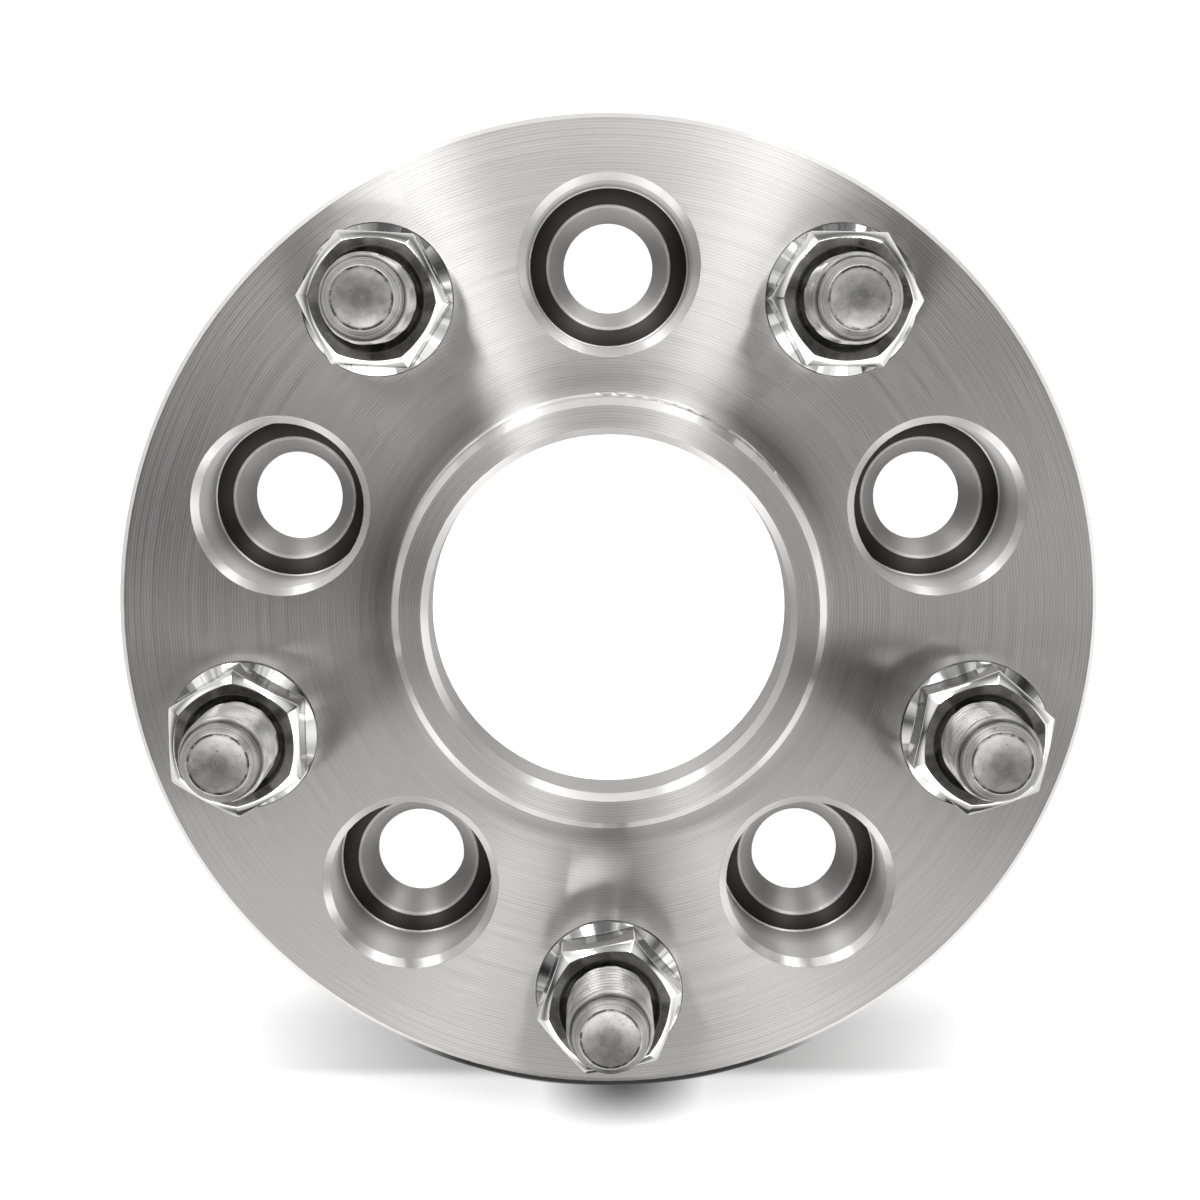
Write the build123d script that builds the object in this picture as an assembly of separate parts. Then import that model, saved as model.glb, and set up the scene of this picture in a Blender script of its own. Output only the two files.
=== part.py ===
from build123d import *
import math
import os

# A bolt-through wheel adapter: a turned aluminium disc that bolts to a hub through five
# counterbored holes, and carries five pressed-in studs on a larger circle for the wheel.
# Millimetres. The disc lies on its hub face at z = 0, with the studs standing along +Z.

# The two bolt circles
bolts_per_circle = 5
hub_bolt_circle = 114.3
stud_bolt_circle = 127.0
first_hole_angle = 90.0
half_step = 180.0 / bolts_per_circle

# Disc
disc_diameter = 163.0
disc_thickness = 25.4
rim_chamfer = 0.8

# Hub-centric lip on the wheel face
lip_diameter = 71.5
lip_height = 6.0
lip_lead_chamfer = 1.2
lip_root_fillet = 0.8

# Centre bore and the recess that takes the hub's pilot
bore_diameter = 59.5
bore_mouth_chamfer = 1.2
bore_land = 12.3
bore_back_chamfer = 0.6
hub_pilot_diameter = 71.5
hub_pilot_clearance = 0.05
recess_corner_fillet = 0.8
recess_mouth_chamfer = 1.0

# Counterbored hub holes with a conical nut seat
hub_hole_diameter = 15.5
hub_hole_back_chamfer = 0.5
counterbore_diameter = 27.3
counterbore_depth = 17.2
counterbore_mouth_chamfer = 1.25
counterbore_corner_fillet = 0.4
seat_mouth_diameter = 20.7
seat_mouth_fillet = 0.3
seat_angle = 60.0
# How far a cutter reaches past the face that it cuts through
cutter_overrun = 1.0

# Pressed-in wheel studs, M14 x 1.5
thread_diameter = 14.0
thread_pitch = 1.5
knurl_diameter = 14.7
knurl_length = 10.0
stud_head_diameter = 20.0
stud_head_thickness = 3.6
stud_head_chamfer = 0.6
head_pocket_clearance = 0.5
head_below_face = 0.4
stud_projection = 29.5
dog_diameter = 12.2
dog_length = 1.4
tip_chamfer_length = 1.1
tip_flat_diameter = 9.8
dish_diameter = 9.2
dish_depth = 0.6

# Open-ended bulge nuts with a conical seat
nut_height = 15.0
nut_across_flats = 21.0
nut_rim_diameter = 24.7
nut_cone_height = 5.5
nut_cone_angle = 60.0
nut_rim_height = 0.7
nut_shoulder_rise = 1.0
nut_front_diameter = 19.2
nut_front_chamfer_angle = 30.0
nut_mouth_diameter = 15.2
nut_mouth_depth = 2.2
nut_mouth_chamfer = 0.8
# How far each nut has been turned: the direction of one flat, one nut after another
nut_turns = (29.0, 27.0, 1.0, 40.5, 49.0)

# Radii and levels that follow from the sizes above
disc_radius = disc_diameter / 2
lip_radius = lip_diameter / 2
lip_top = disc_thickness + lip_height
bore_radius = bore_diameter / 2
recess_radius = hub_pilot_diameter / 2 + hub_pilot_clearance
recess_floor = lip_top - bore_land
knurl_radius = knurl_diameter / 2
head_radius = stud_head_diameter / 2
head_pocket_radius = head_radius + head_pocket_clearance
head_seat = head_below_face + stud_head_thickness
thread_radius = thread_diameter / 2
# Where a nut grips, both threads are drawn at the pitch radius, on which their flanks meet.
# A metric thread's pitch line lies this share of its pitch below the crests
pitch_line_depth = 0.3248
pitch_radius = thread_radius - pitch_line_depth * thread_pitch
nut_front = disc_thickness + nut_height
stud_tip = disc_thickness + stud_projection


def turned(points, arcs=()):
    """A solid of revolution about Z from (radius, height) points. arcs names the corners
    to round, as (corner number, radius)."""
    with BuildSketch(Plane.XZ) as section:
        with BuildLine():
            Polyline(*points, close=True)
        make_face()
        for corner, radius in arcs:
            at = Vector(points[corner][0], points[corner][1])
            nearest = sorted(section.vertices(), key=lambda v: (v.center() - at).length)[0]
            fillet(nearest, radius)
    return revolve(section.sketch, Axis.Z)


def on_circle(diameter, start):
    """Places on one of the bolt circles, counter-clockwise from the start angle."""
    return [loc for loc in PolarLocations(diameter / 2, bolts_per_circle, start, rotate=False)]


def disc_blank():
    """The disc as it leaves the lathe: rim, lip, bore land and hub recess."""
    return turned(
        [
            (recess_radius + recess_mouth_chamfer, 0),
            (disc_radius - rim_chamfer, 0),
            (disc_radius, rim_chamfer),
            (disc_radius, disc_thickness - rim_chamfer),
            (disc_radius - rim_chamfer, disc_thickness),
            (lip_radius, disc_thickness),
            (lip_radius, lip_top - lip_lead_chamfer),
            (lip_radius - lip_lead_chamfer, lip_top),
            (bore_radius + bore_mouth_chamfer, lip_top),
            (bore_radius, lip_top - bore_mouth_chamfer),
            (bore_radius, recess_floor + bore_back_chamfer),
            (bore_radius + bore_back_chamfer, recess_floor),
            (recess_radius, recess_floor),
            (recess_radius, recess_mouth_chamfer),
        ],
        arcs=((5, lip_root_fillet), (12, recess_corner_fillet)),
    )


def hub_hole_cutter():
    """What the drill and the counterbore cutter take out for one hub stud and its nut."""
    hole = hub_hole_diameter / 2
    pocket = counterbore_diameter / 2
    seat = seat_mouth_diameter / 2
    floor = disc_thickness - counterbore_depth
    seat_drop = (seat - hole) / math.tan(math.radians(seat_angle / 2))
    return turned(
        [
            (0, -cutter_overrun),
            (hole + hub_hole_back_chamfer + cutter_overrun, -cutter_overrun),
            (hole, hub_hole_back_chamfer),
            (hole, floor - seat_drop),
            (seat, floor),
            (pocket, floor),
            (pocket, disc_thickness - counterbore_mouth_chamfer),
            (pocket + counterbore_mouth_chamfer + cutter_overrun, disc_thickness + cutter_overrun),
            (0, disc_thickness + cutter_overrun),
        ],
        arcs=((4, seat_mouth_fillet), (5, counterbore_corner_fillet)),
    )


def stud_hole_cutter():
    """The press-fit bore for one stud's knurl, with the pocket that hides its head."""
    return turned(
        [
            (0, -cutter_overrun),
            (head_pocket_radius, -cutter_overrun),
            (head_pocket_radius, head_seat),
            (knurl_radius, head_seat),
            (knurl_radius, disc_thickness + cutter_overrun),
            (0, disc_thickness + cutter_overrun),
        ]
    )


def spacer_body():
    body = disc_blank()
    for place in on_circle(hub_bolt_circle, first_hole_angle):
        body -= place * hub_hole_cutter()
    for place in on_circle(stud_bolt_circle, first_hole_angle - half_step):
        body -= place * stud_hole_cutter()
    return body


def wheel_stud():
    """One stud on the Z axis: head, knurl, shank in the nut, free thread, dog and tip."""
    shoulder = stud_tip - tip_chamfer_length - dog_length
    tip = tip_flat_diameter / 2
    dog = dog_diameter / 2
    runout = thread_radius - dog
    stud = turned(
        [
            (0, head_below_face),
            (head_radius - stud_head_chamfer, head_below_face),
            (head_radius, head_below_face + stud_head_chamfer),
            (head_radius, head_seat),
            (knurl_radius, head_seat),
            (knurl_radius, head_seat + knurl_length),
            (pitch_radius, head_seat + knurl_length + knurl_radius - pitch_radius),
            (pitch_radius, nut_front),
            (thread_radius, nut_front),
            (thread_radius, shoulder - runout),
            (dog, shoulder),
            (dog, stud_tip - tip_chamfer_length),
            (tip, stud_tip),
            (0, stud_tip),
        ]
    )
    dish_radius = dish_diameter / 2
    ball = (dish_radius**2 + dish_depth**2) / (2 * dish_depth)
    return stud - Pos(0, 0, stud_tip - dish_depth + ball) * Sphere(ball)


def lug_nut():
    """One nut on the Z axis, standing on the disc: cone, round rim, shoulder and hexagon."""
    base = disc_thickness
    rim = nut_rim_diameter / 2
    flat = nut_across_flats / 2
    corner = flat / math.cos(math.radians(30))
    cone_foot = rim - nut_cone_height * math.tan(math.radians(nut_cone_angle / 2))
    rim_top = base + nut_cone_height + nut_rim_height
    front = nut_front_diameter / 2
    chamfer_drop = (corner - front) * math.tan(math.radians(nut_front_chamfer_angle))
    skirt = turned(
        [
            (0, base),
            (cone_foot, base),
            (rim, base + nut_cone_height),
            (rim, rim_top),
            (flat, rim_top + nut_shoulder_rise),
            (0, rim_top + nut_shoulder_rise),
        ]
    )
    outline = RegularPolygon(flat, 6, major_radius=False, rotation=30)
    hexagon = Pos(0, 0, rim_top) * extrude(outline, nut_front - rim_top)
    crown = turned(
        [
            (0, rim_top),
            (corner, rim_top),
            (corner, nut_front - chamfer_drop),
            (front, nut_front),
            (0, nut_front),
        ]
    )
    mouth = nut_mouth_diameter / 2
    thread = turned(
        [
            (0, base),
            (pitch_radius, base),
            (pitch_radius, nut_front - nut_mouth_depth),
            (mouth, nut_front - nut_mouth_depth),
            (mouth, nut_front - nut_mouth_chamfer),
            (mouth + nut_mouth_chamfer, nut_front),
            (0, nut_front),
        ]
    )
    return skirt + (hexagon & crown) - thread


os.makedirs("parts", exist_ok=True)
export_step(spacer_body(), "parts/spacer_body.step")
stud = wheel_stud()
nut = lug_nut()
stud_places = on_circle(stud_bolt_circle, first_hole_angle - half_step)
for number, (place, turn) in enumerate(zip(stud_places, nut_turns), start=1):
    export_step(place * stud, f"parts/wheel_stud_{number}.step")
    export_step(place * Rot(0, 0, turn) * nut, f"parts/lug_nut_{number}.step")
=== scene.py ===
import math

import bmesh
import bpy
from mathutils import Matrix, Vector


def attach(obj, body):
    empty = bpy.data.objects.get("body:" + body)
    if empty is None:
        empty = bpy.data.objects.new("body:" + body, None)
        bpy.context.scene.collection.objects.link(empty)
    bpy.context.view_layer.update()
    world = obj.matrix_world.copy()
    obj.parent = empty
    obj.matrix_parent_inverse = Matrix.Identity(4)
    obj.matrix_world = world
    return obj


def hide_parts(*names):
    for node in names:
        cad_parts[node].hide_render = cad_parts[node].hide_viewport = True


MM = 0.001

# Places and sizes that the part's source also holds, in metres
bolts_per_circle = 5
hub_circle_radius = 57.15 * MM
stud_circle_radius = 63.5 * MM
hub_hole_angle = 90.0
stud_angle = 54.0
disc_radius = 81.5 * MM
wheel_face = 25.4 * MM
hub_hole_radius = 7.75 * MM
hole_back_chamfer = 0.5 * MM
pocket_radius = 13.65 * MM
pocket_chamfer = 1.25 * MM
pocket_floor = 8.2 * MM
thread_radius = 7.0 * MM
thread_pitch = 1.5 * MM
# A metric thread's pitch line lies this share of its pitch below the crests
pitch_line_depth = 0.3248
pitch_radius = thread_radius - pitch_line_depth * thread_pitch
head_below_face = 0.4 * MM
head_radius = 10.0 * MM
head_chamfer = 0.6 * MM
head_seat = 4.0 * MM
knurl_radius = 7.35 * MM
knurl_top = 14.0 * MM
stud_tip = wheel_face + 29.5 * MM
thread_end = stud_tip - 2.5 * MM
dog_radius = 6.1 * MM
dish_depth = 0.6 * MM
nut_flat = 10.5 * MM
nut_foot_radius = 9.17 * MM
nut_cone_top = wheel_face + 5.5 * MM
nut_rim = 12.35 * MM
nut_rim_top = wheel_face + 6.2 * MM
nut_shoulder_rise = 1.0 * MM
nut_face_radius = 9.6 * MM
nut_front = wheel_face + 15.0 * MM
nut_mouth = 7.6 * MM
nut_mouth_chamfer = 0.8 * MM
nut_mouth_floor = nut_front - 2.2 * MM
nut_turns = (29.0, 27.0, 1.0, 40.5, 49.0)

# Sizes that only the visible pieces have
broken_edge = 0.12 * MM
weld_reach = 0.001 * MM
# The nut's face reaches this much further out at the hexagon's corners
nut_face_corner = 0.5 * MM
hexagon_rounding = 0.4 * MM
shank_foot = 14.84 * MM
thread_start = nut_mouth_floor + 0.1 * MM
thread_depth = 0.6134 * thread_pitch
# The stud's tip, in millimetres: (radius, depth below the tip), then the dish's radii
dog_top = 1.25
tip_corners = [(5.95, 1.0), (5.0, 0.08), (4.85, 0.0), (4.7, 0.02)]
dish_edge = 4.7
dish_radii = [4.45, 4.1, 3.6, 3.0, 2.3, 1.5, 0.7, 0]

# The margin by which a mask takes in the surface that bounds it
hair = 0.05 * MM
# Where a finish changes. A band is (middle, half its width, soft edge), and a fade is (from, to).
# chamfer_facing is a band of the normal's Z, which is 0.707 on a 45 degree chamfer
chamfer_facing = (0.707, 0.12, 0.08)
floor_level = (pocket_floor, 0.3 * MM, 0.15 * MM)
# Painted shade: each counterbore's floor is dark in this ring
floor_shade_ring = (12.0 * MM, 1.3 * MM, 0.12 * MM)
floor_shade_fade = (10.8 * MM, 13.3 * MM)
# Painted highlights along the two edges of each counterbore's floor
edge_highlight_band = (11.9 * MM, 1.85 * MM, 0.1 * MM)
pocket_wall = 13.2 * MM
# Painted shade on each counterbore's wall, darkest at the floor
wall_shade_fade = (8.6 * MM, 19.0 * MM)
tip_fade = (stud_tip - 0.55 * MM, stud_tip - 0.45 * MM)
dish_fade = (4.9 * MM, 5.05 * MM)
dish_groove = (4.66 * MM, 0.07 * MM, 0.2 * MM)
centre_dot_fade = (0.10 * MM, 0.26 * MM)
# Painted shade in the thread's roots
thread_root_shade_fade = (6.25 * MM, 6.75 * MM)
nut_front_zone = nut_front - 3.0 * MM
bare_ring_fade = (9.5 * MM, 9.62 * MM)
# A painted highlight on the edge of each nut's mouth
mouth_glint_band = (8.32 * MM, 0.05 * MM, 0.1 * MM)
# A painted dark reflection round each nut's rim, of the shade under the nut
nut_rim_shade = (12.13 * MM, 12.2 * MM)
# Painted dark reflections and painted shade on each nut's shoulder, growing towards its foot
nut_foot_fade = (nut_rim_top + 1.5 * MM, nut_rim_top + 2.5 * MM)

# The photograph's view: from above the wheel face, with a long lens
camera_place = (-3.1 * MM, 47.0 * MM, 372.0 * MM)
camera_target = (-1.5 * MM, 2.0 * MM, wheel_face)
lens_mm = 63.0
sensor_mm = 36.0
# The disc's outline as the camera throws it on the floor: its middle and its radius
floor_reach = camera_place[2] / (camera_place[2] - wheel_face)
outline_on_floor = (camera_place[0] * (1 - floor_reach), camera_place[1] * (1 - floor_reach), 0.0)
outline_radius = disc_radius * floor_reach

# The studio. A room tone is (height of the direction, 0 level and 1 straight up; strength).
# A card is (azimuth, angle from straight up, angle from its middle to its faded edge, strength).
# A softbox is (name, azimuth, angle from straight up, metres away, size, watts).
# The flag is the pair of fades, towards -Y and upwards, that darkens the studio low down there.
room_tones = [(0.0, 1.05), (0.15, 0.75), (0.3, 0.2), (0.45, 0.05), (1.0, 0.0)]
cards = [(234, 38, 18, 0.48), (306, 38, 18, 0.54), (90, 42, 30, 0.35), (0, 50, 24, 1.5),
         (60, 50, 24, 0.85), (150, 50, 24, 0.85), (210, 50, 24, 1.0), (240, 50, 24, 0.7), (270, 50, 24, 1.63),
         (300, 50, 24, 0.46), (330, 50, 24, 0.55), (126, 60, 26, 0.58), (234, 60, 26, 1.98),
         (270, 60, 26, 0.44), (306, 60, 26, 1.76), (342, 60, 26, 0.5), (0, 72, 30, 0.46)]
softboxes = [("fan_right", 65, 37, 1.0, (0.12, 0.2), 1.2),
             ("fan_right_low", 67, 57, 1.0, (0.13, 0.25), 0.4),
             ("fan_left", 118.5, 37, 1.0, (0.12, 0.2), 1.35),
             ("fan_left_low", 118, 57, 1.0, (0.13, 0.25), 0.95),
             ("top_near", 89, 47.3, 0.177, (0.07, 0.03), 0.02)]
flag_fades = ((-0.97, -0.85), (0.14, 0.26))

# The paper and its shade where a disc that stands on its rim meets it, as the photograph shows. The fades
# run aside from the middle, along Y, or outwards from the disc's outline on the floor.
paper_reach = 3.0
paper_drop = 0.02 * MM
line_across = (-0.1 * MM, 0.4 * MM, 0.65 * MM)
line_aside = (26 * MM, 50 * MM)
patch_middle = 3 * MM
patch_aside = (0.0, 23 * MM)
patch_outwards = (0.0, 11.5 * MM)
patch_inwards = (-4 * MM, -0.5 * MM)
wing_aside = (14 * MM, 92 * MM)
wing_along = (-104 * MM, -88 * MM)
wing_edge_along = (-90.5 * MM, -87.5 * MM)
wing_end_along = (-82 * MM, -58 * MM)
shade_end_along = (-80 * MM, -55 * MM)
under_disc_fade = (70 * MM, 79 * MM)
# A painted shadow that the metal mirrors: the paper has a dark strip on the disc's -Y side
strip_aside = (24 * MM, 60 * MM)
strip_along = (-75 * MM, -60 * MM)


# Shader nodes


def socket_of(value):
    return isinstance(value, bpy.types.NodeSocket)


def node(tree, kind, inputs=(), **settings):
    """A shader node with its settings, and its inputs linked or set in order or by name."""
    made = tree.nodes.new("ShaderNode" + kind)
    for name, value in settings.items():
        setattr(made, name, value)
    pairs = inputs.items() if isinstance(inputs, dict) else enumerate(inputs)
    for key, value in pairs:
        if socket_of(value):
            tree.links.new(value, made.inputs[key])
        else:
            made.inputs[key].default_value = value
    return made


def maths(tree, operation, *terms, clamp=False):
    return node(tree, "Math", terms, operation=operation, use_clamp=clamp).outputs[0]


def vectors(tree, operation, *terms):
    made = node(tree, "VectorMath", terms, operation=operation)
    return made.outputs["Value" if operation in ("LENGTH", "DOT_PRODUCT") else "Vector"]


def times(tree, first, *others):
    """The product of masks and values."""
    for other in others:
        first = maths(tree, "MULTIPLY", first, other)
    return first


def off_middle(tree, value):
    """How far a noise's value lies from its middle."""
    return maths(tree, "SUBTRACT", value, 0.5)


def step(tree, value, low, high, bottom=0.0, top=1.0):
    """value carried from low..high to bottom..top, smoothly and no further."""
    made = node(tree, "MapRange", (value, low, high, bottom, top), interpolation_type="SMOOTHSTEP")
    return made.outputs[0]


def fade(tree, value, low, high, start=1.0):
    """start where value is below low, and smoothly down to 0 at high."""
    return step(tree, value, low, high, start, 0.0)


def band(tree, value, centre, half, soft):
    """1 where value lies within half of centre, and 0 beyond half + soft."""
    away = maths(tree, "ABSOLUTE", maths(tree, "SUBTRACT", value, centre))
    return fade(tree, away, half, half + soft)


def blend(tree, share, first, second):
    return node(tree, "Mix", {0: share, 6: first, 7: second}, data_type="RGBA").outputs[2]


def ramp(tree, value, stops):
    made = node(tree, "ValToRGB", (value,))
    bar = made.color_ramp
    bar.elements.remove(bar.elements[1])
    bar.elements[0].position, bar.elements[0].color = stops[0][0], grey(stops[0][1])
    for place, tone in stops[1:]:
        bar.elements.new(place).color = grey(tone)
    return made.outputs[0]


def grey(tone):
    return (tone, tone, tone, 1.0)


def noise(tree, place, scale, detail=2.0, roughness=0.5):
    made = node(tree, "TexNoise", {"Vector": place, "Scale": scale, "Detail": detail, "Roughness": roughness})
    return made.outputs["Fac"]


def from_nearest_axis(tree, point, circle_radius, first_angle):
    """The vector from the nearest of five axes on a circle to the point, flat on XY, and its length."""
    apart = 2 * math.pi / bolts_per_circle
    start = math.radians(first_angle)
    parts = node(tree, "SeparateXYZ", (point,))
    angle = maths(tree, "ARCTAN2", parts.outputs[1], parts.outputs[0])
    turns = maths(tree, "ROUND", maths(tree, "DIVIDE", maths(tree, "SUBTRACT", angle, start), apart))
    nearest = maths(tree, "ADD", times(tree, turns, apart), start)
    across = times(tree, maths(tree, "COSINE", nearest), circle_radius)
    along = times(tree, maths(tree, "SINE", nearest), circle_radius)
    axis = node(tree, "CombineXYZ", (across, along, parts.outputs[2])).outputs[0]
    offset = vectors(tree, "SUBTRACT", point, axis)
    return offset, vectors(tree, "LENGTH", offset)


def sides_of(tree, vector):
    """A vector's X and Y, as a pair of sockets."""
    parts = node(tree, "SeparateXYZ", (vector,))
    return parts.outputs[0], parts.outputs[1]


def new_group(name, inputs, outputs):
    group = bpy.data.node_groups.new(name, "ShaderNodeTree")
    for label, kind, start in inputs:
        made = group.interface.new_socket(label, in_out="INPUT", socket_type=kind)
        if start is not None:
            made.default_value = start
    for label, kind in outputs:
        group.interface.new_socket(label, in_out="OUTPUT", socket_type=kind)
    return group, group.nodes.new("NodeGroupInput"), group.nodes.new("NodeGroupOutput")


def place_group(tree, group, **inputs):
    made = tree.nodes.new("ShaderNodeGroup")
    made.node_tree = group
    for name, value in inputs.items():
        if socket_of(value):
            tree.links.new(value, made.inputs[name])
        else:
            made.inputs[name].default_value = value
    return made


def turning_marks_group():
    """Fine rings that a lathe tool leaves: a height, and a tone about 0.5."""
    floats = [("Radius", "NodeSocketFloat", 0.0), ("Feed", "NodeSocketFloat", 0.0006),
              ("Wander", "NodeSocketFloat", 0.2)]
    group, inlet, outlet = new_group("turning marks", [("Point", "NodeSocketVector", None)] + floats,
                                     [("Height", "NodeSocketFloat"), ("Tone", "NodeSocketFloat")])
    drift = noise(group, inlet.outputs["Point"], 60.0, 2.0)
    shift = times(group, off_middle(group, drift), inlet.outputs["Wander"])
    count = maths(group, "ADD", maths(group, "DIVIDE", inlet.outputs["Radius"], inlet.outputs["Feed"]), shift)
    wave = maths(group, "SINE", times(group, count, 2 * math.pi))
    line = node(group, "CombineXYZ", (count, times(group, drift, 3.0), 0.0)).outputs[0]
    uneven = noise(group, line, 1.1, 2.0, 0.6)
    along = noise(group, inlet.outputs["Point"], 330.0, 2.0)
    strong = times(group, wave, along)
    tone = maths(group, "ADD", times(group, strong, 0.4), uneven)
    group.links.new(strong, outlet.inputs["Height"])
    group.links.new(tone, outlet.inputs["Tone"])
    return group


def handling_group():
    """Uneven sheen from cleaning and handling, and sparse fine scratches."""
    group, inlet, outlet = new_group(
        "handling marks",
        [("Point", "NodeSocketVector", None), ("Size", "NodeSocketFloat", 0.02)],
        [("Sheen", "NodeSocketFloat"), ("Scratch", "NodeSocketFloat"), ("Pits", "NodeSocketFloat")])
    per_metre = maths(group, "DIVIDE", 1.0, inlet.outputs["Size"])
    scaled = vectors(group, "MULTIPLY", inlet.outputs["Point"],
                     node(group, "CombineXYZ", (per_metre, per_metre, per_metre)).outputs[0])
    sheen = noise(group, scaled, 1.0, 4.0, 0.6)
    swirl = node(group, "TexNoise", {"Vector": scaled, "Scale": 1.3}).outputs["Color"]
    bent = vectors(group, "ADD", scaled, swirl)
    streak = noise(group, vectors(group, "MULTIPLY", bent, (0.6, 14.0, 6.0)), 2.0, 3.0)
    scratch = step(group, streak, 0.66, 0.72)
    pits = step(group, noise(group, scaled, 16.0, 1.0), 0.68, 0.76)
    for name, value in (("Sheen", sheen), ("Scratch", scratch), ("Pits", pits)):
        group.links.new(value, outlet.inputs[name])
    return group


def new_material(name):
    material = bpy.data.materials.new(name)
    material.use_nodes = True
    tree = material.node_tree
    tree.nodes.clear()
    shader = node(tree, "BsdfPrincipled")
    node(tree, "OutputMaterial", (shader.outputs[0],))
    point = node(tree, "TexCoord").outputs["Object"]
    return material, tree, shader, point


def turned_aluminium(marks, handling):
    """Lathe-turned aluminium: rings round the disc's axis, and round each hub hole inside it. The
    chamfers are polished. Each counterbore has painted shade and painted highlights: a dark floor between
    two painted light edges, and walls that darken towards the floor."""
    dull, bright = (0.55, 0.539, 0.53, 1), (0.89, 0.878, 0.868, 1)
    polished_tone, edge_highlight_tone = (0.93, 0.92, 0.91, 1), (0.97, 0.965, 0.96, 1)
    wall_shade_tone = (0.12, 0.118, 0.115, 1)
    floor_shade_dark, floor_shade_light = (0.018, 0.017, 0.016, 1), (0.1, 0.097, 0.093, 1)
    material, tree, shader, point = new_material("turned_aluminium")
    parts = node(tree, "SeparateXYZ", (point,))
    height = parts.outputs[2]
    flat_point = node(tree, "CombineXYZ", (parts.outputs[0], parts.outputs[1], 0.0)).outputs[0]
    disc_distance = vectors(tree, "LENGTH", flat_point)
    hole_offset, hole_distance = from_nearest_axis(tree, point, hub_circle_radius, hub_hole_angle)

    inside_mouth = maths(tree, "LESS_THAN", hole_distance, pocket_radius + pocket_chamfer + hair)
    above_back = maths(tree, "GREATER_THAN", height, hole_back_chamfer + 2 * hair)
    inside_hole = maths(tree, "LESS_THAN", hole_distance, hub_hole_radius + hole_back_chamfer + hair)
    in_hole = times(tree, inside_mouth, maths(tree, "MAXIMUM", above_back, inside_hole))

    # The light streaks across the grooves, so the tangent follows them round the nearest axis
    outward = node(tree, "Mix", {0: in_hole, 4: flat_point, 5: hole_offset}, data_type="VECTOR").outputs[1]
    groove = vectors(tree, "CROSS_PRODUCT", (0.0, 0.0, 1.0), outward)
    tree.links.new(vectors(tree, "NORMALIZE", groove), shader.inputs["Tangent"])
    shader.inputs["Anisotropic Rotation"].default_value = 0.25
    shader.inputs["Anisotropic"].default_value = 0.93

    facing = node(tree, "SeparateXYZ", (node(tree, "NewGeometry").outputs["Normal"],)).outputs[2]
    polished = band(tree, facing, *chamfer_facing)
    chamfer_foot = wheel_face - pocket_chamfer
    in_pocket = times(tree, in_hole, fade(tree, height, chamfer_foot - 5 * hair, chamfer_foot + hair))
    unmarked = maths(tree, "MAXIMUM", times(tree, in_pocket, 0.85), polished)
    marked = maths(tree, "SUBTRACT", 1.0, unmarked)

    radius = node(tree, "Mix", {0: in_hole, 2: disc_distance, 3: hole_distance}).outputs[0]
    across = maths(tree, "ADD", radius, height)
    rings = place_group(tree, marks, Point=point, Radius=across, Feed=0.5 * MM, Wander=0.12)
    worn = place_group(tree, handling, Point=point, Size=0.03)
    lines = times(tree, off_middle(tree, rings.outputs["Tone"]), 0.6)
    sheen = times(tree, off_middle(tree, worn.outputs["Sheen"]), 0.12)
    tone = maths(tree, "ADD", times(tree, lines, marked), sheen)
    colour = blend(tree, maths(tree, "ADD", tone, 0.5, clamp=True), dull, bright)
    colour = blend(tree, polished, colour, polished_tone)

    # Painted shade on each counterbore's floor
    near_floor = times(tree, in_hole, band(tree, height, *floor_level))
    in_floor_shade = times(tree, near_floor, band(tree, hole_distance, *floor_shade_ring))
    # Painted highlights at the floor's two edges
    edge_highlights = times(tree, near_floor, band(tree, hole_distance, *edge_highlight_band))
    edge_highlights = maths(tree, "SUBTRACT", edge_highlights, in_floor_shade, clamp=True)
    # Painted shade low on the counterbore walls
    on_wall = maths(tree, "GREATER_THAN", hole_distance, pocket_wall)
    wall_shade = times(tree, in_hole, fade(tree, height, *wall_shade_fade, 0.45), on_wall)
    colour = blend(tree, wall_shade, colour, wall_shade_tone)
    colour = blend(tree, edge_highlights, colour, edge_highlight_tone)
    floor_shade_tone = maths(tree, "ADD", fade(tree, hole_distance, *floor_shade_fade, 0.75),
                       times(tree, rings.outputs["Tone"], 0.25))
    floor_shade_colour = blend(tree, floor_shade_tone, floor_shade_dark, floor_shade_light)
    colour = blend(tree, times(tree, in_floor_shade, 0.94), colour, floor_shade_colour)
    tree.links.new(colour, shader.inputs["Base Color"])
    rough = maths(tree, "ADD", 0.38, times(tree, tone, 0.2))
    rough = maths(tree, "ADD", rough, times(tree, in_pocket, 0.14))
    rough = maths(tree, "SUBTRACT", rough, times(tree, polished, 0.1))
    tree.links.new(rough, shader.inputs["Roughness"])
    shader.inputs["Metallic"].default_value = 1.0
    groove_height = times(tree, rings.outputs["Height"], marked)
    bump = node(tree, "Bump", {"Strength": 0.35, "Distance": 0.014 * MM, "Height": groove_height})
    tree.links.new(bump.outputs[0], shader.inputs["Normal"])
    return material


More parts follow.
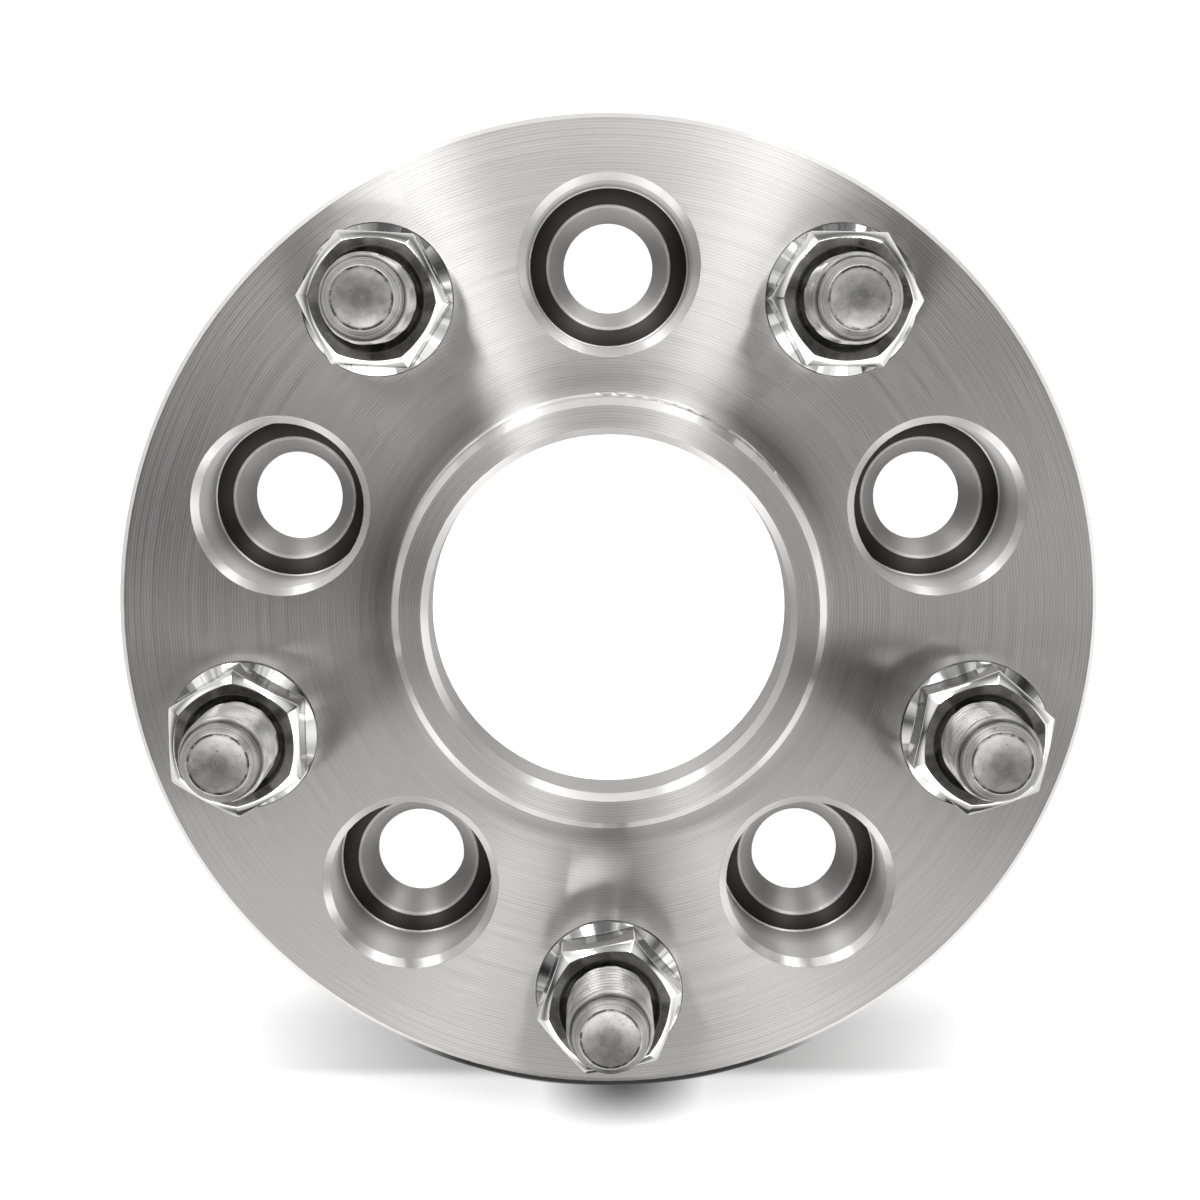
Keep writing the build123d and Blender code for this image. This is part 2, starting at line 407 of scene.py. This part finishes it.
def zinc_steel(marks, handling):
    """Zinc-plated steel studs: satin and sandy, with lathe lines on the sides, painted shade in the
    thread's roots and a broken dark line round the dished end."""
    dull, bright = (0.33, 0.325, 0.318, 1), (0.68, 0.675, 0.665, 1)
    side_tone = (0.2, 0.198, 0.195, 1)
    pit_tone, root_shade_tone, groove_tone = grey(0.09), grey(0.05), grey(0.04)
    material, tree, shader, point = new_material("zinc_plated_steel")
    distance = from_nearest_axis(tree, point, stud_circle_radius, stud_angle)[1]
    height = node(tree, "SeparateXYZ", (point,)).outputs[2]
    on_end = step(tree, height, *tip_fade)
    fine = place_group(tree, handling, Point=point, Size=0.0016)
    broad = place_group(tree, handling, Point=point, Size=0.009)
    along = maths(tree, "ADD", height, times(tree, distance, 0.5))
    lines = place_group(tree, marks, Point=point, Radius=along, Feed=0.17 * MM, Wander=2.5)
    lined = times(tree, off_middle(tree, lines.outputs["Tone"]),
                  maths(tree, "SUBTRACT", 0.75, times(tree, on_end, 0.7)))
    tone = maths(tree, "ADD", times(tree, broad.outputs["Sheen"], 0.5), lined)
    tone = maths(tree, "ADD", times(tree, fine.outputs["Sheen"], 0.5), tone)
    colour = blend(tree, step(tree, tone, 0.15, 0.85), dull, bright)
    colour = blend(tree, times(tree, broad.outputs["Pits"], 0.55), colour, pit_tone)
    on_dish = times(tree, on_end, fade(tree, distance, *dish_fade))
    off_dish = maths(tree, "SUBTRACT", 1.0, on_dish)
    colour = blend(tree, times(tree, off_dish, 0.35), colour, side_tone)
    on_thread = times(tree, fade(tree, height, thread_end - 2 * hair, thread_end),
                      maths(tree, "GREATER_THAN", height, nut_mouth_floor))
    # Painted shade in the thread's roots
    root = times(tree, on_thread, fade(tree, distance, *thread_root_shade_fade))
    colour = blend(tree, times(tree, root, 0.85), colour, root_shade_tone)
    broken = step(tree, noise(tree, point, 380.0, 3.0, 0.7), 0.40, 0.56)
    groove = times(tree, band(tree, distance, *dish_groove), broken, on_end)
    centre_dot = times(tree, fade(tree, distance, *centre_dot_fade), on_end)
    dark = maths(tree, "MAXIMUM", groove, times(tree, centre_dot, 0.6))
    colour = blend(tree, times(tree, dark, 0.85), colour, groove_tone)
    tree.links.new(colour, shader.inputs["Base Color"])
    shader.inputs["Metallic"].default_value = 1.0
    rough = maths(tree, "ADD", 0.33, times(tree, tone, 0.14))
    tree.links.new(rough, shader.inputs["Roughness"])
    grain = maths(tree, "ADD", times(tree, fine.outputs["Sheen"], 0.5), lined)
    dents = maths(tree, "SUBTRACT", grain, dark)
    bump = node(tree, "Bump", {"Strength": 0.5, "Distance": 0.03 * MM, "Height": dents})
    tree.links.new(bump.outputs[0], shader.inputs["Normal"])
    return material


def nut_chrome(handling):
    """Bright chrome, rubbed down to dark bare metal on each nut's front ring. Light and shade are painted
    on it: a light line on the mouth's edge, a dark reflection round the rim, and dark reflections
    streaked on the shoulder below the hexagon, with painted shade towards the foot."""
    chrome, scratch_tone, mouth_glint_tone = (0.86, 0.857, 0.85, 1), grey(0.5), grey(0.6)
    rim_shade_tone, painted_reflection_tone = grey(0.05), grey(0.25)
    dark_low, dark_high = (0.03, 0.029, 0.028, 1), (0.2, 0.196, 0.19, 1)
    light_sector_low, light_sector_high = (0.15, 0.147, 0.143, 1), (0.4, 0.395, 0.388, 1)
    material, tree, shader, point = new_material("nut_chrome")
    offset, distance = from_nearest_axis(tree, point, stud_circle_radius, stud_angle)
    height = node(tree, "SeparateXYZ", (point,)).outputs[2]
    fine = place_group(tree, handling, Point=point, Size=0.005)
    ragged = times(tree, off_middle(tree, fine.outputs["Sheen"]), 0.5 * MM)
    at_corner = node(tree, "Attribute", attribute_name="at corner").outputs["Fac"]
    edge = maths(tree, "SUBTRACT", maths(tree, "ADD", distance, ragged),
                 times(tree, at_corner, nut_face_corner))
    at_front = maths(tree, "GREATER_THAN", height, nut_front_zone)
    ring = times(tree, fade(tree, edge, *bare_ring_fade), at_front)

    # Patterns that run round each nut differently: its direction from the stud, moved by the stud's place
    around = vectors(tree, "NORMALIZE", node(tree, "CombineXYZ", sides_of(tree, offset)).outputs[0])
    stud_axis = vectors(tree, "SUBTRACT", point, offset)
    own_place = vectors(tree, "ADD", vectors(tree, "MULTIPLY", stud_axis, (60.0, 60.0, 0.0)), around)
    # Some sectors of each front ring are lighter, with sharp edges
    light_sector = step(tree, noise(tree, own_place, 1.5, 1.5), 0.45, 0.56)
    patchy = noise(tree, point, 900.0, 3.0)
    bare = blend(tree, light_sector, blend(tree, patchy, dark_low, dark_high),
                 blend(tree, patchy, light_sector_low, light_sector_high))
    bare = blend(tree, times(tree, fine.outputs["Scratch"], 0.35), bare, scratch_tone)
    colour = blend(tree, ring, chrome, bare)
    # A painted highlight on the mouth's edge
    mouth_glint = times(tree, band(tree, distance, *mouth_glint_band), at_front)
    colour = blend(tree, times(tree, mouth_glint, 0.7), colour, mouth_glint_tone)
    # A painted dark reflection round the rim
    colour = blend(tree, step(tree, distance, *nut_rim_shade), colour, rim_shade_tone)
    # Painted dark reflections streaked on the shoulder, and painted shade towards the foot
    low = fade(tree, height, *nut_foot_fade)
    streak = step(tree, noise(tree, own_place, 4.0, 2.5), 0.44, 0.56)
    reflections_and_shade = maths(tree, "ADD", times(tree, streak, low, 0.65), times(tree, low, 0.18))
    colour = blend(tree, reflections_and_shade, colour, painted_reflection_tone)
    tree.links.new(colour, shader.inputs["Base Color"])
    shader.inputs["Metallic"].default_value = 1.0
    rough = maths(tree, "ADD", 0.07, times(tree, fine.outputs["Sheen"], 0.08))
    rough = maths(tree, "ADD", rough, times(tree, ring, 0.34))
    tree.links.new(rough, shader.inputs["Roughness"])
    waves = noise(tree, point, 260.0, 1.0)
    bump = node(tree, "Bump", {"Strength": 0.5, "Distance": 0.015 * MM, "Height": waves})
    tree.links.new(bump.outputs[0], shader.inputs["Normal"])
    return material


# Pieces


def finish_piece(bm, name, material, stands_for, smooth_angle=30):
    """The bmesh as an object with crisp edges, riding on the part and standing for its CAD node."""
    mesh = bpy.data.meshes.new(name)
    bm.to_mesh(mesh)
    bm.free()
    mesh.polygons.foreach_set("use_smooth", [True] * len(mesh.polygons))
    mesh.set_sharp_from_angle(angle=math.radians(smooth_angle))
    mesh.materials.append(material)
    piece = bpy.data.objects.new(name, mesh)
    bpy.context.scene.collection.objects.link(piece)
    normals = piece.modifiers.new("even normals", "WEIGHTED_NORMAL")
    normals.keep_sharp = True
    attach(piece, "root")
    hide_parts(stands_for)
    return piece


def make_body(material):
    """A merged copy of the disc with each sharp ring broken, as a deburring tool leaves it."""
    flat_enough, sharp_from = math.radians(0.4), math.radians(40)
    bm = bmesh.new()
    bm.from_mesh(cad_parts["spacer_body"].data)
    bmesh.ops.remove_doubles(bm, verts=bm.verts[:], dist=weld_reach)
    bmesh.ops.dissolve_limit(bm, angle_limit=flat_enough, verts=bm.verts[:], edges=bm.edges[:])
    rings = [e for e in bm.edges if e.is_manifold and e.calc_face_angle() > sharp_from
             and abs(e.verts[0].co.z - e.verts[1].co.z) < weld_reach]
    bmesh.ops.bevel(bm, geom=rings, offset=broken_edge, offset_type="OFFSET", affect="EDGES", segments=2,
                    profile=0.5, material=-1, clamp_overlap=True)
    finish_piece(bm, "machined_body", material, "spacer_body", 80)


def eased(corners):
    """A closed profile's points, from (radius, height, reach, what it follows) corners. A corner with a
    reach is rounded off over it."""
    places = [Vector(corner[:2]) for corner in corners]
    rows = []
    for number, (place, corner) in enumerate(zip(places, corners)):
        reach, follows = corner[2:]
        if not reach:
            rows.append((place, follows))
            continue
        before = (places[number - 1] - place).normalized()
        after = (places[(number + 1) % len(places)] - place).normalized()
        half = before.angle(after) / 2
        centre = place + (before + after).normalized() * reach / math.cos(half)
        middle = centre + (place - centre).normalized() * reach * math.tan(half)
        rows += [(place + before * reach, follows), (middle, follows), (place + after * reach, follows)]
    return rows


def hexagon_reach(from_corner):
    """The hexagon's radius at an angle from its nearest corner, which is slightly rounded."""
    half_side = math.pi / 6
    centre = (nut_flat - hexagon_rounding) / math.cos(half_side)
    tangent = math.atan2(hexagon_rounding * 0.5, centre + hexagon_rounding * math.cos(half_side))
    if abs(from_corner) < tangent:
        aside = centre * math.sin(from_corner)
        return centre * math.cos(from_corner) + math.sqrt(hexagon_rounding ** 2 - aside ** 2)
    return nut_flat / math.cos(half_side - abs(from_corner))


def make_nuts(material):
    """Five nuts, each a full turn of one profile drawn at the hexagon's corners. Its shoulder and crown are
    then drawn in to the flats, along their own cones."""
    corner = hexagon_reach(0)
    crown_slope = math.tan(math.pi / 6)
    shoulder_slope = nut_shoulder_rise / (nut_rim - nut_flat)
    crown_drop = (corner - nut_face_radius) * crown_slope
    shoulder_top = nut_rim_top + (nut_rim - corner) * shoulder_slope
    corners = [
        (pitch_radius, wheel_face, 0, None),
        (nut_foot_radius, wheel_face, 0.08 * MM, None),
        (nut_rim, nut_cone_top, 0.15 * MM, None),
        (nut_rim, nut_rim_top, 0.15 * MM, None),
        (corner, shoulder_top, 0.1 * MM, "shoulder"),
        (corner, nut_front - crown_drop, 0.12 * MM, "crown"),
        (nut_face_radius, nut_front, 0.12 * MM, "front"),
        (nut_mouth + nut_mouth_chamfer, nut_front, 0.06 * MM, None),
        (nut_mouth, nut_front - nut_mouth_chamfer, 0.06 * MM, None),
        (nut_mouth, nut_mouth_floor, 0, None),
        (pitch_radius, nut_mouth_floor, 0, None),
    ]
    profile = eased(corners)
    nut = bmesh.new()
    row = nut.verts.layers.int.new("row")
    at_corner = nut.verts.layers.float.new("at corner")
    points = [nut.verts.new((place.x, 0, place.y)) for place, follows in profile]
    for number, point in enumerate(points):
        point[row] = number
    lines = [nut.edges.new(pair) for pair in zip(points, points[1:] + points[:1])]
    bmesh.ops.spin(nut, geom=points + lines, cent=(0, 0, 0), axis=(0, 0, 1), angle=2 * math.pi,
                   steps=240, use_merge=True)
    sixth = math.pi / 3
    # Above 1, this draws the spun rows closer together near the hexagon's corners
    crowding = 1.6
    for v in nut.verts:
        angle = math.atan2(v.co.y, v.co.x)
        nearest = math.floor(angle / sixth) * sixth + sixth / 2
        share = (angle - nearest) / (sixth / 2)
        from_corner = math.copysign(abs(share) ** crowding, share) * sixth / 2
        drawn_in = corner - hexagon_reach(from_corner)
        radius, height = v.co.xy.length, v.co.z
        v[at_corner] = 1 - drawn_in / (corner - nut_flat)
        follows = profile[v[row]][1]
        if follows == "front":
            radius += nut_face_corner * v[at_corner]
        elif follows:
            radius -= drawn_in
            height += drawn_in * (crown_slope if follows == "crown" else shoulder_slope)
        angle = nearest + from_corner
        v.co = (radius * math.cos(angle), radius * math.sin(angle), height)
    for number, turn in enumerate(nut_turns, start=1):
        bm = nut.copy()
        turned = Matrix.Rotation(math.radians(turn), 3, "Z")
        bmesh.ops.rotate(bm, verts=bm.verts[:], cent=(0, 0, 0), matrix=turned)
        bmesh.ops.translate(bm, verts=bm.verts[:], vec=stud_place(number))
        bmesh.ops.recalc_face_normals(bm, faces=bm.faces[:])
        finish_piece(bm, f"chrome_nut_{number}", material, f"lug_nut_{number}", 40)
    nut.free()


def stud_place(number):
    angle = math.radians(stud_angle + 360 / bolts_per_circle * (number - 1))
    return (stud_circle_radius * math.cos(angle), stud_circle_radius * math.sin(angle), 0)


def make_studs(material):
    """Five studs, each a full turn of one profile with its free end's thread raised in helix form."""
    rings_per_pitch = 12
    # Shares of a pitch: from a crest's middle to the foot of its flank, and the flank's own length
    flank_foot, flank_length = 0.375, 0.3125
    runout_slope = 0.9
    count = round((thread_end - thread_start) / thread_pitch * rings_per_pitch)
    rise = (thread_end - thread_start) / count
    profile = [(0, head_below_face), (head_radius - head_chamfer, head_below_face),
               (head_radius, head_below_face + head_chamfer), (head_radius, head_seat),
               (knurl_radius, head_seat), (knurl_radius, knurl_top),
               (pitch_radius, shank_foot), (pitch_radius, thread_start)]
    profile += [(thread_radius, thread_start + rise * i) for i in range(count + 1)]
    profile += [(dog_radius, thread_end + 0.02 * MM), (dog_radius, stud_tip - dog_top * MM)]
    profile += [(r * MM, stud_tip - drop * MM) for r, drop in tip_corners]
    profile += [(r * MM, stud_tip - dish_depth * (1 - (r / dish_edge) ** 2)) for r in dish_radii]

    nearly = 1e-6
    for number in range(1, bolts_per_circle + 1):
        bm = bmesh.new()
        points = [bm.verts.new((r, 0, z)) for r, z in profile]
        lines = [bm.edges.new(pair) for pair in zip(points, points[1:])]
        bmesh.ops.spin(bm, geom=points + lines, cent=(0, 0, 0), axis=(0, 0, 1), angle=2 * math.pi,
                       steps=96, use_merge=True)
        bmesh.ops.remove_doubles(bm, verts=bm.verts[:], dist=weld_reach)
        for v in bm.verts:
            on_thread = thread_start - nearly < v.co.z < thread_end + nearly
            if on_thread and v.co.xy.length > pitch_radius + nearly:
                turn = math.atan2(v.co.y, v.co.x) / (2 * math.pi)
                phase = (v.co.z / thread_pitch - turn) % 1.0
                from_crest = min(phase, 1 - phase)
                share = min(max((flank_foot - from_crest) / flank_length, 0), 1)
                runout = dog_radius + (thread_end - v.co.z) * runout_slope
                reach = min(thread_radius - thread_depth * (1 - share), max(runout, dog_radius))
                v.co.xy = v.co.xy.normalized() * reach
        bmesh.ops.translate(bm, verts=bm.verts[:], vec=stud_place(number))
        bmesh.ops.recalc_face_normals(bm, faces=bm.faces[:])
        piece_name, stands_for = f"threaded_stud_{number}", f"wheel_stud_{number}"
        finish_piece(bm, piece_name, material, stands_for, 40)


# Light, floor and camera


def studio_world():
    """A pale studio: dark straight above, where the camera stands, with soft cards round it."""
    world = bpy.data.worlds.new("studio")
    world.use_nodes = True
    bpy.context.scene.world = world
    tree = world.node_tree
    tree.nodes.clear()
    toward = node(tree, "TexCoord").outputs["Generated"]
    parts = node(tree, "SeparateXYZ", (toward,))
    light = ramp(tree, parts.outputs[2], room_tones)
    for azimuth, from_zenith, edge, strength in cards:
        a, z = math.radians(azimuth), math.radians(from_zenith)
        aim = (math.cos(a) * math.sin(z), math.sin(a) * math.sin(z), math.cos(z))
        facing = vectors(tree, "DOT_PRODUCT", toward, aim)
        card = step(tree, facing, math.cos(math.radians(edge)), 1.0, 0.0, strength)
        light = maths(tree, "ADD", light, card)
    flag = times(tree, fade(tree, parts.outputs[1], *flag_fades[0], 0.95),
                 fade(tree, parts.outputs[2], *flag_fades[1]))
    light = times(tree, light, maths(tree, "SUBTRACT", 1.0, flag))
    studio = node(tree, "Background", {"Color": grey(1.0), "Strength": light})
    paper = node(tree, "Background", {"Color": grey(1.0), "Strength": 1.0})
    seen = node(tree, "LightPath").outputs["Is Camera Ray"]
    both = node(tree, "MixShader", (seen, studio.outputs[0], paper.outputs[0]))
    node(tree, "OutputWorld", (both.outputs[0],))


def softbox(name, azimuth, from_zenith, away, size, watts):
    lamp = bpy.data.lights.new(name, "AREA")
    lamp.shape, lamp.size, lamp.size_y, lamp.energy = "RECTANGLE", size[0], size[1], watts
    a, z = math.radians(azimuth), math.radians(from_zenith)
    place = Vector((math.cos(a) * math.sin(z), math.sin(a) * math.sin(z), math.cos(z))) * away
    made = bpy.data.objects.new(name, lamp)
    made.location = place
    made.rotation_euler = (-place).to_track_quat("-Z", "Y").to_euler()
    bpy.context.scene.collection.objects.link(made)


def paper_floor():
    """White paper. The camera sees it glow white, with shade below the disc's lowest point."""
    bm = bmesh.new()
    bmesh.ops.create_grid(bm, x_segments=1, y_segments=1, size=paper_reach)
    bmesh.ops.translate(bm, verts=bm.verts[:], vec=(0, 0, -paper_drop))
    mesh = bpy.data.meshes.new("paper_floor")
    bm.to_mesh(mesh)
    bm.free()
    floor = bpy.data.objects.new("paper_floor", mesh)
    bpy.context.scene.collection.objects.link(floor)
    material = bpy.data.materials.new("white_paper")
    material.use_nodes = True
    tree = material.node_tree
    tree.nodes.clear()
    white, black = grey(0.8), grey(0.0)
    point = node(tree, "TexCoord").outputs["Object"]
    across, along = sides_of(tree, point)
    aside = maths(tree, "ABSOLUTE", across)
    # A painted shadow that only the metal sees: a dark strip in the paper on the disc's -Y side
    strip = times(tree, fade(tree, aside, *strip_aside, 0.93), fade(tree, along, *strip_along))
    paper = node(tree, "BsdfDiffuse", {"Color": blend(tree, strip, white, black)})

    from_middle = vectors(tree, "LENGTH", vectors(tree, "SUBTRACT", point, outline_on_floor))
    beyond = maths(tree, "SUBTRACT", from_middle, outline_radius)
    line = times(tree, band(tree, beyond, *line_across), fade(tree, aside, *line_aside, 0.95))
    off_patch = maths(tree, "ABSOLUTE", maths(tree, "SUBTRACT", across, patch_middle))
    patch = times(tree, fade(tree, beyond, *patch_outwards, 0.88), fade(tree, off_patch, *patch_aside),
                  step(tree, beyond, *patch_inwards, 0.35, 1.0))
    wings = maths(tree, "ADD", step(tree, along, *wing_along, 0.0, 0.25),
                  step(tree, along, *wing_edge_along, 0.0, 0.36))
    wings = times(tree, wings, fade(tree, aside, *wing_aside), fade(tree, along, *wing_end_along))
    shade = maths(tree, "MAXIMUM", maths(tree, "MAXIMUM", line, patch), wings)
    shade = times(tree, shade, fade(tree, along, *shade_end_along))
    kept = maths(tree, "SUBTRACT", 1.0, maths(tree, "POWER", shade, 0.7))
    under_disc = step(tree, vectors(tree, "LENGTH", point), *under_disc_fade, 1.0, 0.62)
    glow = node(tree, "Emission", {"Color": grey(1.0), "Strength": times(tree, under_disc, kept)})
    shaded = node(tree, "BsdfDiffuse", {"Color": blend(tree, kept, black, white)})
    lifted = node(tree, "AddShader", (shaded.outputs[0], glow.outputs[0]))
    seen = node(tree, "LightPath").outputs["Is Camera Ray"]
    both = node(tree, "MixShader", (seen, paper.outputs[0], lifted.outputs[0]))
    node(tree, "OutputMaterial", (both.outputs[0],))
    mesh.materials.append(material)


def photo_camera():
    data = bpy.data.cameras.new("photo_view")
    data.lens, data.sensor_width = lens_mm, sensor_mm
    data.clip_start, data.clip_end = 0.01, 20
    camera = bpy.data.objects.new("photo_view", data)
    camera.location = camera_place
    toward = (Vector(camera_target) - Vector(camera_place)).normalized()
    right = toward.cross(Vector((0, 1, 0))).normalized()
    camera.rotation_euler = Matrix((right, right.cross(toward), -toward)).transposed().to_euler()
    bpy.context.scene.collection.objects.link(camera)
    bpy.context.scene.camera = camera


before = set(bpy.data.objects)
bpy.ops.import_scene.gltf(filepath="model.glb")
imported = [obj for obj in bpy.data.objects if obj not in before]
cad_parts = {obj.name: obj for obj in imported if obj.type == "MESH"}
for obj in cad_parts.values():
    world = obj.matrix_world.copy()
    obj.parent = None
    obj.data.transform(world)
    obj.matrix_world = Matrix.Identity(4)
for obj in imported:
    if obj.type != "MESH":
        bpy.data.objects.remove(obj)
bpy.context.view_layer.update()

marks = turning_marks_group()
handling = handling_group()
make_body(turned_aluminium(marks, handling))
make_nuts(nut_chrome(handling))
make_studs(zinc_steel(marks, handling))

studio_world()
for box in softboxes:
    softbox(*box)
paper_floor()
photo_camera()
bpy.context.scene.view_settings.view_transform = "Standard"
